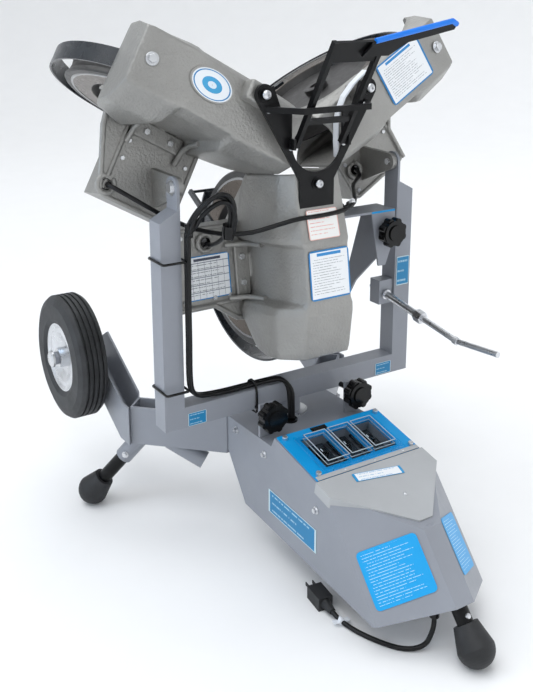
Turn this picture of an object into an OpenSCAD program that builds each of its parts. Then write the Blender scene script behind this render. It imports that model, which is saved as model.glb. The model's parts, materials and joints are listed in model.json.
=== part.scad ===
// Three-wheel baseball pitching machine on a swivelling yoke.
// +X runs along the yoke, +Y is the throwing direction, +Z is up.
// The floor is z = 0 and the yoke's swivel axis is x = y = 0.

/* [Yoke] */
// Side of the square steel tube
tube = 38; // [30:1:50]
// Outside width over the two uprights
yoke_w = 540; // [500:5:600]
// Height of the crossbar's middle
bar_z = 275; // [265:1:290]
// Height of the axis that the head tilts about
pivot_z = 680; // [660:5:720]
// Diameter of the swivel post
post_d = 40; // [30:1:44]

/* [Head] */
// Nose-down tilt of the head as it stands
head_tilt = 8; // [0:1:10]
// Height of the ball line above the tilt axis
ball_v = 38; // [30:1:50]
// Diameter of the hole that the ball is fed through
throat_d = 100; // [90:1:110]
// Diameter of a throwing wheel
wheel_d = 340; // [300:5:350]
// Width of a throwing wheel's tread
wheel_t = 43; // [36:1:50]
// Distance from the ball line to a wheel's axle
axle_r = 203; // [195:1:210]
// Distance of the axles in front of the tilt axis
axle_w = 144; // [135:1:150]
// Diameter of a motor
motor_d = 100; // [80:1:104]

/* [Stand] */
// Width of the control box
box_w = 224; // [200:2:240]
// Height of the deck under the yoke
deck_z = 226; // [215:1:228]
// Lean of the three legs
lean = 40; // [38:1:42]
// Outside diameter of a leg socket
socket_d = 34; // [32:0.5:36]
// Inside diameter of a leg socket
socket_bore = 27; // [26:0.5:29]
// Clearance around a leg in its socket
leg_play = 0.3; // [0.3:0.05:0.5]
// Diameter of a transport tyre
tyre_d = 250; // [230:2:256]
// Width of a transport tyre
tyre_w = 62; // [50:1:66]

/* [Hidden] */
$fn = 64;
wall = 3;
half = box_w / 2;
up_x = yoke_w / 2;

// Control box
slope = 12.6;
front_y = 40;
rear_flat = 18;
lean_front = -343;
lean_rear = -424;

// Legs, given from the middle of the ball at a foot's end
ball_r = 30;
foot_h = 37;
arm_in = 30;
arm_wide = 46;
leg_reach = 392;
rear_y = -505;
socket_low = 104;
spare_l = 78;

// Wheels of the stand
hub_y = 350;
hub_z = 283;
hub_x = 293;
hub_r = 10;
rim_r = 69;

// Head, drawn with +Z out from the ball line and +Y forward
cast_half = 53;
cast_wall = 6;
web_w = -80;
end_r = 357;
lobes = 8;

// X of the feed plate's middle
plate_x = -9;

// Cords
cord_d = 8;
cord_route = [
    [-115, -298, 12], [-114, -312, 8], [-110, -330, 5], [-104, -355, 4.2], [-92, -387, 4.2], [-76, -415, 4.2],
    [-58, -432, 6], [-42, -440, 13], [-32, -441, 26], [-26, -440, 40], [-26, -440, 56]
];
yoke_route = [
    [-226, -28, 608], [-226, -27, 590], [-226, -26, 540], [-226, -25, 480], [-226, -25, 420], [-226, -24, 360],
    [-220, -18, 328], [-204, -9, 310], [-180, -4, 303], [-140, -2, 300], [-100, -2, 300], [-60, -6, 302],
    [-34, -18, 303], [-26, -32, 290], [-26, -38, 262], [-26, -40, 231]
];
head_route = [
    [-160, -46, 600], [-160, -56, 620], [-164, -66, 644], [-174, -72, 664], [-190, -72, 672],
    [-206, -64, 664], [-216, -50, 648], [-222, -36, 628], [-226, -28, 611]
];

function unit(v) = v / norm(v);
function slope_z(y) = 248.5 + (y + 120) * tan(slope);

// Rings of a tube that is swept along a route, kept square to the route
function tangent(p, i) = unit(p[min(i + 1, len(p) - 1)] - p[max(i - 1, 0)]);
function side_of(t) = unit(cross(t, abs(t[1]) < 0.9 ? [0, 1, 0] : [0, 0, 1]));
function ring(c, t, r, n) = [for (k = [0 : n - 1]) c + r * (cos(360 * k / n) * side_of(t)
    + sin(360 * k / n) * unit(cross(t, side_of(t))))];
// A smooth route: Catmull-Rom points between the hand-set ones
function smooth(a, b, c, d, u) = 0.5 * (2 * b + (c - a) * u + (2 * a - 5 * b + 4 * c - d) * u * u
    + (3 * b - a - 3 * c + d) * u * u * u);
function fine(p, n) = concat([for (i = [0 : len(p) - 2]) for (j = [0 : n - 1])
    smooth(p[max(i - 1, 0)], p[i], p[i + 1], p[min(i + 2, len(p) - 1)], j / n)], [p[len(p) - 1]]);

module swept(route, d, n = 8, steps = 2) {
    p = fine(route, steps);
    m = len(p);
    pts = [for (i = [0 : m - 1]) each ring(p[i], tangent(p, i), d / 2, n)];
    sides = [for (i = [0 : m - 2]) for (k = [0 : n - 1])
        [i * n + k, i * n + (k + 1) % n, (i + 1) * n + (k + 1) % n, (i + 1) * n + k]];
    low = [[for (k = [n - 1 : -1 : 0]) k]];
    top = [[for (k = [0 : n - 1]) (m - 1) * n + k]];
    polyhedron(points = pts, faces = concat(low, sides, top));
}

module mirror_x(on) {
    mirror([on ? 1 : 0, 0, 0]) children();
}

// A solid extruded along X, from an outline in (y, z)
module along_x(x0, x1) {
    translate([x0, 0, 0]) rotate([90, 0, 90]) linear_extrude(height = x1 - x0) children();
}

// A cylinder with its axis along Y or X
module rod_y(x, y0, y1, z, r) {
    translate([x, y0, z]) rotate([-90, 0, 0]) cylinder(r = r, h = y1 - y0);
}

module rod_x(x0, x1, y, z, r) {
    translate([x0, y, z]) rotate([0, 90, 0]) cylinder(r = r, h = x1 - x0);
}

// A domed bolt: hexagon head on a washer, standing on z = 0
module bolt_head(r = 6.5) {
    cylinder(r = r * 1.45, h = 1.6);
    translate([0, 0, 1.5]) cylinder(r = r, h = 5, $fn = 6);
}

// ---------------------------------------------------------------- control box

module box_outline(in) {
    polygon([
        [front_y - in, 158 + in / 2], [front_y - in, deck_z - in], [-109 - in, deck_z - in],
        [-119 - in, slope_z(-119) - 3 - in], [-460, slope_z(-460) - 3 - in], [-520, 110 + in],
        [-396, 43 + in], [-21, 73 + in]
    ]);
}

module box_plan(in) {
    polygon([
        [-half + in, 300], [-half + in, lean_front + in], [-rear_flat + in / 2, lean_rear + in],
        [rear_flat - in / 2, lean_rear + in], [half - in, lean_front + in], [half - in, 300]
    ]);
}

module box_solid(in) {
    intersection() {
        along_x(-half + in, half - in) box_outline(in);
        rotate([-lean, 0, 0]) translate([0, 0, -600]) linear_extrude(height = 1200) box_plan(in);
    }
}

module rear_leg_frame() {
    translate([0, rear_y, ball_r]) rotate([0, 0, 270]) rotate([0, -lean, 0]) children();
}

module console_frame() {
    translate([0, -120, 248.5]) rotate([slope, 0, 0]) children();
}

module box_shell() {
    color("silver") difference() {
        box_solid(0);
        difference() {
            box_solid(wall);
            translate([-90, -240, 180]) cube([180, 126, 80]);
        }
        console_frame() translate([-76, -104, -32]) cube([152, 78, 40]);
        console_frame() translate([-40, -19, -9]) cube([28, 12, 12]);
        translate([0, 0, deck_z - 20]) cylinder(d = post_d + 12, h = 30);
        translate([-26, -40, deck_z - 20]) cylinder(r = 10, h = 30);
        rear_leg_frame() cylinder(d = socket_d, h = 190);
        for (s = [-1, 1]) translate([s * 94 - 16, -70, deck_z - 20]) cube([32, 6, 30]);
        translate([-26, -440, 40]) cylinder(r = 8, h = 50);
    }
}

module lid_plan(in) {
    polygon([[-half - 1.6 + in, -128], [-half - 1.6 + in, -168], [-14, -271], [14, -271],
        [half + 1.6 - in, -168], [half + 1.6 - in, -128]]);
}

module box_lid() {
    color("gainsboro") console_frame() difference() {
        translate([0, 0, -21]) linear_extrude(height = 21) lid_plan(0);
        rotate([-slope, 0, 0]) translate([0, 120, -248.5]) box_solid(0);
    }
}

module console_plate() {
    color("deepskyblue") console_frame() difference() {
        translate([-109, -126, -2.9]) cube([218, 124, 2.9]);
        translate([-76, -104, -5]) cube([152, 78, 10]);
        translate([-40, -19, -5]) cube([28, 12, 10]);
    }
}

module console_cover() {
    color("lightcyan") console_frame() {
        difference() {
            translate([-86, -114, 0.3]) cube([172, 93, 3]);
            for (x = [-50, 0, 50]) translate([x - 20, -100, -1]) cube([40, 70, 12]);
        }
        for (x = [-50, 0, 50]) difference() {
            translate([x - 23, -103, 3.2]) cube([46, 76, 9]);
            translate([x - 20, -100, 0]) cube([40, 70, 9.7]);
        }
        for (x = [-62, 0, 62]) rod_x(x - 8, x + 8, -114, 3.8, 3.2);
    }
}

module power_switch() {
    color("black") console_frame() difference() {
        union() {
            translate([-39, -18, -2.6]) cube([26, 10, 5]);
            rod_x(-39, -13, -13, -2, 3.4);
        }
        translate([-60, -30, -20]) cube([80, 40, 15.5]);
    }
}

module socket_rear() {
    color("silver") rear_leg_frame() difference() {
        translate([0, 0, 62]) cylinder(d = socket_d, h = 128);
        translate([0, 0, 60]) cylinder(d = socket_bore, h = 126);
    }
}

module swivel_bearing() {
    color("silver") difference() {
        union() {
            translate([0, 0, deck_z - 70]) cylinder(d = post_d + 12, h = 70);
            translate([0, 0, deck_z]) cylinder(d = post_d + 26, h = 3);
        }
        translate([0, 0, deck_z - 64]) cylinder(d = post_d + 0.1, h = 80);
    }
}

module cable_grommet() {
    color("black") difference() {
        union() {
            translate([-26, -40, deck_z - 9]) cylinder(r = 10, h = 9);
            translate([-26, -40, deck_z]) cylinder(r = 14, h = 4);
        }
        translate([-26, -40, deck_z - 20]) cylinder(r = 6.5, h = 40);
    }
}

module cord_gland() {
    color("black") difference() {
        translate([-26, -440, 56]) cylinder(r = 8, h = 24);
        translate([-26, -440, 60]) cylinder(r = 4.2, h = 30);
    }
}

module lock_plate(s) {
    color("silver") difference() {
        translate([s * 94 - 16, -70, deck_z - 18]) cube([32, 6, 80]);
        rod_y(s * 94, -80, -50, 268, 5.4);
    }
}

// ---------------------------------------------------------------- arms and wheels

// Right-hand arm: a channel that opens upwards, 45 degrees forward of the yoke
module arm() {
    low = -arm_in - arm_wide / 2;
    color("silver") difference() {
        rotate([0, 0, 45]) difference() {
            translate([0, low, deck_z - 76]) cube([299, arm_wide, 76]);
            translate([-1, low + 4, deck_z - 72]) cube([296, arm_wide - 8, 90]);
            translate([leg_reach, -arm_in, ball_r]) rotate([0, -lean, 0]) cylinder(d = socket_d, h = 222);
            spare_frame() cylinder(d = socket_d, h = spare_l);
        }
        translate([-200, -400, 0]) cube([500, 400 + front_y, 400]);
    }
}

module wheel_bracket() {
    color("silver") {
        difference() {
            along_x(212, 256) polygon([[150, 150], [209, 150], [378, 247], [378, 300], [352, 316],
                [196, deck_z], [150, deck_z]]);
            along_x(216, 252) polygon([[140, 154], [208, 154], [390, 258], [390, 400], [140, 400]]);
            rotate([0, 0, 45]) translate([0, -300, 0]) cube([299.05, 600, 500]);
            rotate([0, 0, 45]) translate([leg_reach, -arm_in, ball_r]) rotate([0, -lean, 0])
                cylinder(d = socket_d, h = 222);
        }
        rod_x(256, hub_x + 36, hub_y, hub_z, hub_r - 0.05);
        rod_x(256, hub_x - 31.4, hub_y, hub_z, 15);
        translate([hub_x + 31.4, hub_y, hub_z]) rotate([0, 90, 0]) cylinder(r = 14, h = 8, $fn = 6);
    }
}

// Frame of the open spare socket, whose mouth is at z = 0
module spare_frame() {
    translate([160, -arm_in, 118]) rotate([0, 62.5, 0]) children();
}

// Leg socket and open spare socket of the right-hand arm
module sockets() {
    color("silver") rotate([0, 0, 45]) {
        translate([leg_reach, -arm_in, ball_r]) rotate([0, -lean, 0]) difference() {
            translate([0, 0, socket_low]) cylinder(d = socket_d, h = 118);
            translate([0, 0, socket_low - 2]) cylinder(d = socket_bore, h = 112);
        }
        spare_frame() difference() {
            cylinder(d = socket_d, h = spare_l);
            translate([0, 0, -2]) cylinder(d = socket_bore, h = spare_l - 2);
        }
    }
}

module leg_tube(length) {
    color("black") cylinder(d = socket_bore - 2 * leg_play, h = length);
}

module foot() {
    color("dimgray") difference() {
        rotate_extrude() polygon(concat([[0, -ball_r]],
            [for (a = [-80 : 10 : 0]) [ball_r * cos(a), ball_r * sin(a)]], [[20, foot_h], [0, foot_h]]));
        cylinder(d = socket_bore - 2 * leg_play, h = 2 * foot_h);
    }
}

module front_leg_frame(left) {
    mirror_x(left) rotate([0, 0, 45]) translate([leg_reach, -arm_in, ball_r]) rotate([0, -lean, 0]) children();
}

module tyre() {
    r = tyre_d / 2;
    h = tyre_w / 2;
    groove = [for (x = [-15, -5, 5, 15]) each [[r, x - 2], [r - 4, x - 1.5], [r - 4, x + 1.5], [r, x + 2]]];
    color("dimgray") translate([hub_x, hub_y, hub_z]) rotate([0, 90, 0]) rotate_extrude($fn = 72) polygon(concat(
        [[rim_r, -h + 5], [rim_r + 10, -h], [r - 18, -h], [r - 5, -h + 5], [r, -h + 12]], groove,
        [[r, h - 12], [r - 5, h - 5], [r - 18, h], [rim_r + 10, h], [rim_r, h - 5]]));
}

module rim() {
    color("lightgray") translate([hub_x, hub_y, hub_z]) rotate([0, 90, 0]) rotate_extrude($fn = 72) polygon([
        [hub_r, -31], [20, -31], [20, 8], [34, 12], [52, 20], [58, 20], [64, 10], [64, -26], [rim_r, -26],
        [rim_r, 26], [66, 26], [60, 23], [51, 23], [33, 15], [20, 12], [20, 31], [hub_r, 31]]);
}

// ---------------------------------------------------------------- yoke

module yoke_bar(in) {
    s = tube - 2 * in;
    translate([-up_x + in, -s / 2, bar_z - s / 2]) cube([yoke_w - 2 * in, s, s]);
    for (m = [false, true]) mirror_x(m) translate([0, s / 2, 0]) rotate([90, 0, 0])
        linear_extrude(height = s) polygon([[up_x - tube + in, bar_z - s / 2], [up_x - in, bar_z - s / 2],
            [up_x - in, 626 - in], [up_x - tube + in, 646 - in]]);
}

module yoke_frame() {
    color("silver") {
        difference() {
            union() {
                yoke_bar(0);
                translate([0, 0, deck_z - 63]) cylinder(d = post_d, h = bar_z - deck_z + 50);
            }
            yoke_bar(3);
            rod_x(up_x - tube - 2, up_x - tube + 6, 0, 425, 5.05);
        }
        for (m = [false, true]) mirror_x(m) difference() {
            union() {
                translate([up_x - tube, -tube / 2, 640]) cube([5, tube, pivot_z - 640]);
                rod_x(up_x - tube, up_x - tube + 5, 0, pivot_z, tube / 2);
            }
            rod_x(up_x - tube - 1, up_x - tube + 8, 0, pivot_z, 6);
        }
    }
}

module pivot_bolts() {
    color("silver") for (m = [false, true]) mirror_x(m) {
        rod_x(up_x - tube - 13, up_x - tube + 5, 0, pivot_z, 6);
        translate([up_x - tube + 5, 0, pivot_z]) rotate([0, 90, 0]) bolt_head(9);
    }
}

// ---------------------------------------------------------------- head

// Frame of the head, tilted nose-down about the pivot
module head_frame() {
    translate([0, 0, pivot_z]) rotate([-head_tilt, 0, 0]) children();
}

// Frame of one wheel unit: +Z out from the ball line at angle a, motor on +X
module unit_frame(a, flip = false) {
    head_frame() translate([0, 0, ball_v]) rotate([0, 90 - a, 0]) mirror_x(flip) children();
}

module cast_profile(in, bulge) {
    polygon([
        [web_w + in, 31], [web_w + in, 110], [web_w - bulge + in, 140], [web_w - bulge + in, 235],
        [web_w + in, 262], [-66 + in, 335], [-52 + in, end_r - in], [2 + 3 * in, end_r - in],
        [60 + 3 * in, 322], [182 + 3 * in, 262], [186 + 3 * in, 203], [182 + 3 * in, 150],
        [90 + 3 * in, 60], [10 + 3 * in, 36], [-40, 34 - in]
    ]);
}

// Swells of the motor side's wall, at the outer end and beside the throat
module casting_swells() {
    along_x(cast_half - 1, cast_half + 21)
        polygon([[-56, 286], [-50, 344], [16, 344], [60, 318], [78, 300], [78, 286]]);
    along_x(cast_half - 1, cast_half + 8) polygon([[-60, 64], [-60, 150], [78, 150], [78, 72], [60, 64]]);
}

module casting(bulge) {
    color("darkgray") casting_swells();
    color("darkgray") difference() {
        along_x(-cast_half, cast_half) cast_profile(0, bulge);
        along_x(-cast_half + cast_wall, cast_half - cast_wall) cast_profile(cast_wall, bulge);
        rotate([-90, 0, 0]) translate([0, 0, -120]) cylinder(d = throat_d, h = 320, $fn = 96);
        rod_x(-60, 60, axle_w, axle_r, 14);
        // Recess in the motor side's wall, and the open far side that shows the wheel
        translate([cast_half - 2, -66, 170]) cube([10, 60, 80]);
        translate([-cast_half - 1, -36, 60]) cube([cast_wall + 2, 260, 276]);
    }
}

module motor() {
    color("dimgray") {
        rod_x(cast_half, cast_half + 128, axle_w, axle_r, motor_d / 2);
        rod_x(cast_half - 40, cast_half, axle_w, axle_r, 9.95);
        rod_x(cast_half + 128, cast_half + 135, axle_w, axle_r, 18);
    }
}

// Cast tray behind a motor, with its cable port at (port_t, port_r)
module tray(port_t, port_r) {
    color("darkgray") difference() {
        union() {
            translate([cast_half, 84, 122]) cube([147, 66, 144]);
            rod_y(port_t, 80, 94, port_r, 15);
        }
        translate([cast_half + 4, 89, 127]) cube([139, 80, 134]);
        rod_y(port_t, 78, 100, port_r, 9);
        translate([cast_half - 1, 94, 130]) cube([6, 80, 128]);
    }
}

// Lug that carries the head on one side, drawn in the head's frame
module pivot_lug(left) {
    color("darkgray") mirror_x(left) difference() {
        union() {
            along_x(222, 231.6) polygon([[84, -38], [84, 30], [0, 16], [0, -16]]);
            rod_x(222, 231.6, 0, 0, 16);
        }
        rod_x(215, 240, 0, 0, 6.05);
    }
}

module guard() {
    r0 = 195;
    color("black") {
        translate([-16, axle_w, axle_r]) rotate([90, 0, 90]) linear_extrude(height = 32) difference() {
            circle(r = r0 + 4, $fn = 96);
            circle(r = r0, $fn = 96);
            polygon([[0, 0], [-302, 262], [-400, 262], [-400, -500], [383, -500], [383, -321]]);
        }
        // Strip that runs back into the casting
        translate([-16, -56, 329.5]) cube([32, 54, 4]);
        // Stay bars beside the wheel
        for (s = [-1, 1]) along_x(s * 50 - 3, s * 50 + 3)
            polygon([[184, 168], [184, 150], [291, 70], [300, 77]]);
        rod_x(-47, 47, 295, 76.5, 3);
    }
}

module throw_wheel() {
    r = wheel_d / 2;
    h = wheel_t / 2;
    color("dimgray") translate([0, axle_w, axle_r]) rotate([0, 90, 0]) rotate_extrude($fn = 96) polygon([
        [10, -18], [24, -18], [24, -7], [112, -7], [118, -h], [r - 3, -h], [r, -h + 3], [r - 4, -h / 2],
        [r - 6, 0], [r - 4, h / 2], [r, h - 3], [r - 3, h], [118, h], [112, 7], [24, 7], [24, 18], [10, 18]]);
}

// ---------------------------------------------------------------- feed

// Y-shaped plate behind the throat; it stands upright while the head leans
module feed_bracket() {
    color("black") {
        difference() {
            translate([plate_x, -88, 0]) rotate([90, 0, 0]) linear_extrude(height = 5) difference() {
                union() {
                    polygon([[-35, 638], [35, 638], [35, 684], [121, 826], [88, 846], [70, 800], [-70, 800],
                        [-88, 846], [-121, 826], [-35, 684]]);
                    for (s = [-1, 1]) translate([s * 105, 833]) circle(r = 17);
                }
                translate([0, 750]) circle(r = 52, $fn = 96);
                translate([-52, 750]) square([104, 120]);
                for (s = [-1, 1]) translate([s * 105, 833]) circle(r = 5);
                translate([0, 678]) circle(r = 5);
            }
        }
        // Strap that the feed arm leans on
        translate([plate_x, 0, 804]) linear_extrude(height = 10) polygon([[-104, -92], [-68, -149], [68, -149],
            [104, -92], [98, -92], [64, -144], [-64, -144], [-98, -92]]);
        // Lugs for the feed arm's pins
        for (s = [-1, 1]) difference() {
            translate([plate_x + s * 56 - 2.5, -108, 741]) cube([5, 16, 18]);
            rod_x(plate_x + s * 56 - 4, plate_x + s * 56 + 4, -99, 750, 4);
        }
        for (s = [-1, 1]) rod_y(plate_x + s * 105, -88, -66, 833, 14);
        plate_bolts();
    }
}

module plate_bolts() {
    for (s = [-1, 1]) translate([plate_x + s * 105, -93, 833]) rotate([90, 0, 0]) bolt_head(8);
    translate([plate_x, -93, 678]) rotate([90, 0, 0]) bolt_head(8);
}

module feed_frame() {
    translate([-9, -99, 750]) rotate([31, 0, 0]) children();
}

module feed_arm() {
    color("black") feed_frame() {
        for (s = [-1, 1]) {
            translate([s * 46 - 4, -5, -6]) cube([8, 10, 202]);
            rod_x(s > 0 ? 49 : -60, s > 0 ? 60 : -49, 0, 0, 3.95);
        }
        translate([-43, -3, 160]) cube([86, 6, 36]);
        translate([-43, -3, 40]) cube([86, 5, 10]);
    }
}

module feed_blade() {
    color("royalblue") feed_frame() translate([0, -5.05, 0]) rotate([90, 0, 0]) linear_extrude(height = 5)
        polygon([[8, 174], [24, 200], [166, 233], [178, 227], [176, 219], [90, 198], [60, 174]]);
}

module ball_ramp() {
    color("white") translate([0, -72, 0]) rotate([90, 0, 0]) linear_extrude(height = 13) polygon([
        [40, 716], [38, 745], [38, 775], [42, 798], [52, 820], [70, 840], [98, 862], [100, 860], [73, 838.5],
        [54.5, 818], [44.5, 796.5], [40.5, 774], [40.5, 745], [42.5, 716]]);
}

// ---------------------------------------------------------------- lift gear

module lift_lever() {
    color("silver") {
        translate([cast_half, -35, 592]) cube([161, 55, 4]);
        difference() {
            translate([0, -31, 0]) rotate([90, 0, 0]) linear_extrude(height = 4)
                polygon([[158, 592], [214, 592], [214, 540], [194, 489], [178, 489]]);
            rod_y(195, -40, -20, 556, 5.4);
        }
        along_x(180, 185) polygon([[-31, 592], [20, 592], [60, 470], [86, 440], [86, 410], [58, 410], [40, 440],
            [-31, 510]]);
    }
}

module rod_frame() {
    translate([214, 0, 425]) rotate([100, 0, 0]) children();
}

module crank_block() {
    color("silver") {
        difference() {
            translate([199, -14, 402]) cube([32.4, 28, 48]);
            translate([203, -10, 398]) cube([24.4, 30, 48]);
            rod_frame() translate([0, 0, -40]) cylinder(r = 7.35, h = 80);
        }
        rod_x(231, 240, 0, 425, 5);
    }
}

module crank_rod() {
    color("lightgray") rod_frame() {
        translate([0, 0, -26]) cylinder(r = 7, h = 134);
        translate([0, 0, 108]) cylinder(r = 12, h = 18, $fn = 6);
        translate([0, 0, 124]) cylinder(r = 5.5, h = 92);
        translate([0, 0, 212]) cylinder(r = 7, h = 9);
        translate([0, 0, 218]) rotate([-14, 0, 0]) cylinder(r = 5.2, h = 100);
        translate([0, 0, 16.8]) cylinder(r = 10, h = 3);
        translate([0, 0, -20]) cylinder(r = 10, h = 3);
    }
}

// Lobed knob with its washer and stud; the plate's operator side is at z = 0, the stud points down
module knob(reach) {
    color("black") {
        translate([0, 0, 7]) cylinder(r = 24, h = 20);
        translate([0, 0, 7]) cylinder(r = 15, h = 23);
        for (k = [0 : lobes - 1]) rotate([0, 0, 360 * k / lobes + 22.5]) translate([22, 0, 9])
            cylinder(r = 6.5, h = 16, $fn = 32);
        translate([0, 0, 0.4]) cylinder(r = 13, h = 6.6);
        translate([0, 0, -reach]) cylinder(r = 5, h = reach + 8);
    }
}

// ---------------------------------------------------------------- cords

module harness_head() {
    color("black") {
        swept(head_route, cord_d, 8, 2);
        swept([[-317, 78, 681], [-310, 58, 676], [-280, 42, 655], [-230, 36, 622], [-190, 6, 602],
            [-160, -44, 599]], cord_d, 8, 1);
        swept([[204, 74, 654], [194, 50, 648], [150, 12, 640], [106, -46, 640], [76, -86, 634], [44, -98, 626],
            [0, -99, 623], [-50, -97, 622], [-84, -83, 613], [-120, -62, 601], [-156, -48, 600]], cord_d, 8, 1);
        swept([[-140, 62, 557], [-140, 40, 560], [-148, 0, 576], [-158, -42, 598]], cord_d, 8, 1);
    }
}

module plug_frame() {
    translate([-115, -298, 12]) rotate([0, 0, -8]) rotate([-90, 0, 0]) children();
}

module power_plug() {
    color("black") plug_frame() {
        cylinder(r1 = 5.5, r2 = 9, h = 24);
        translate([-13, -11, 24]) cube([26, 23, 42]);
        for (s = [-1, 1]) translate([s * 6.35 - 0.75, -5.5, 66]) cube([1.5, 6.3, 18]);
        translate([0, 7, 66]) cylinder(r = 2.4, h = 21);
    }
}

module cord_tag() {
    color("white") translate([-113, -318, 7.2]) rotate([0, 0, -12]) {
        translate([-14, -5, -0.5]) cube([28, 10, 1]);
        translate([0, 5, 0]) rotate([90, 0, 0]) cylinder(r = 5, h = 10);
    }
}

module stand_bolts() {
    color("silver") {
        for (s = [-1, 1]) for (p = [[8, 210], [-88, 202], [-245, 170]])
            translate([s * half, p[0], p[1]]) rotate([0, s * 90, 0]) bolt_head(4.5);
        for (m = [false, true]) front_leg_frame(m) translate([0, -socket_d / 2, socket_low + 16])
            rotate([90, 0, 0]) bolt_head(4.5);
    }
}

box_shell();
box_lid();
console_plate();
console_cover();
power_switch();
mirror_x(true) arm();  // arm_left
arm();  // arm_right
mirror_x(true) wheel_bracket();  // wheel_bracket_left
wheel_bracket();  // wheel_bracket_right
mirror_x(true) sockets();  // sockets_left
sockets();  // sockets_right
socket_rear();
lock_plate(-1);  // lock_plate_left
lock_plate(1);  // lock_plate_right
swivel_bearing();
cable_grommet();
stand_bolts();
cord_gland();
mirror_x(true) tyre();  // tyre_left
tyre();  // tyre_right
mirror_x(true) rim();  // rim_left
rim();  // rim_right
front_leg_frame(true) leg_tube(210);  // leg_left
front_leg_frame(false) leg_tube(210);  // leg_right
rear_leg_frame() leg_tube(184);  // leg_rear
front_leg_frame(true) foot();  // foot_left
front_leg_frame(false) foot();  // foot_right
rear_leg_frame() foot();  // foot_rear
yoke_frame();
pivot_bolts();
unit_frame(150, true) casting(0);  // casting_left
unit_frame(30) casting(0);  // casting_right
unit_frame(270) casting(14);  // casting_bottom
unit_frame(150, true) motor();  // motor_left
unit_frame(30) motor();  // motor_right
unit_frame(270) motor();  // motor_bottom
union() {  // tray_left
    unit_frame(150, true) tray(181, 262);
    head_frame() pivot_lug(true);
}
union() {  // tray_right
    unit_frame(30) tray(148, 150);
    head_frame() pivot_lug(false);
}
unit_frame(270) tray(140, 150);  // tray_bottom
unit_frame(150, true) guard();  // guard_left
unit_frame(30) guard();  // guard_right
unit_frame(270) guard();  // guard_bottom
feed_bracket();
ball_ramp();
lift_lever();
unit_frame(150, true) throw_wheel();  // throw_wheel_left
unit_frame(30) throw_wheel();  // throw_wheel_right
unit_frame(270) throw_wheel();  // throw_wheel_bottom
feed_arm();
feed_blade();
translate([-94, -70, 268]) rotate([90, 0, 0]) knob(36);  // knob_left
translate([94, -70, 268]) rotate([90, 0, 0]) knob(36);  // knob_right
translate([195, -35, 556]) rotate([90, 0, 0]) knob(12);  // knob_lift
crank_block();
crank_rod();
color("black") swept(yoke_route, cord_d, 8, 2);  // harness_yoke
harness_head();
color("black") swept(cord_route, cord_d, 8, 2);  // power_cord
power_plug();
cord_tag();
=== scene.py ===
import json
import math
import bmesh
import bpy
from mathutils import Matrix, Vector


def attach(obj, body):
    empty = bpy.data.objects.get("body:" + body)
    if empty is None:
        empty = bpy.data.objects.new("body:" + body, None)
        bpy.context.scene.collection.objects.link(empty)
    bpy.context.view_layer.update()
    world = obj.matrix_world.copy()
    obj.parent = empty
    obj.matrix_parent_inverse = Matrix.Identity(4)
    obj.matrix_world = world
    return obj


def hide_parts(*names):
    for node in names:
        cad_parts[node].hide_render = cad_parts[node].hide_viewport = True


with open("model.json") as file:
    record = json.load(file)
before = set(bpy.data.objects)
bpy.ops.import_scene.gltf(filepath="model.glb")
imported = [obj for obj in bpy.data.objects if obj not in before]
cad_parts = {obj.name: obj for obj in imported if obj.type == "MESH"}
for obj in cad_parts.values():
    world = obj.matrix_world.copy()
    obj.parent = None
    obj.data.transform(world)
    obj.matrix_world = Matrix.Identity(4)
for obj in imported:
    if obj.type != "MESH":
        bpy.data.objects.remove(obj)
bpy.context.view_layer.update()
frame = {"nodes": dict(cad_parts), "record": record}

RECORD = frame["record"]
NODES = frame["nodes"]
JOINTS = {j["name"]: j for j in RECORD["behaviour"]["joints"]}
UP = Vector((0, 0, 1))
MM = 0.001


# ---------------------------------------------------------------- camera and cords

CAMERA_PLACE = (-0.931, -1.372, 0.991)
CAMERA_AZIMUTH, CAMERA_DOWN = math.radians(-32.9), math.radians(14.5)
FOCAL_PX, IMAGE_HEIGHT = 948.3, 692
SENSOR_MM = 36


def make_camera():
    cam = bpy.data.objects.new("camera", bpy.data.cameras.new("camera"))
    bpy.context.scene.collection.objects.link(cam)
    level = math.cos(CAMERA_DOWN)
    look = Vector((-math.sin(CAMERA_AZIMUTH) * level, math.cos(CAMERA_AZIMUTH) * level, -math.sin(CAMERA_DOWN)))
    cam.location = CAMERA_PLACE
    cam.rotation_mode = "QUATERNION"
    cam.rotation_quaternion = look.to_track_quat("-Z", "Y")
    cam.data.lens = SENSOR_MM * FOCAL_PX / IMAGE_HEIGHT
    cam.data.shift_x = -0.0055
    cam.data.shift_y = -0.157
    cam.data.clip_start, cam.data.clip_end = 0.01, 100
    bpy.context.scene.camera = cam


make_camera()

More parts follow.
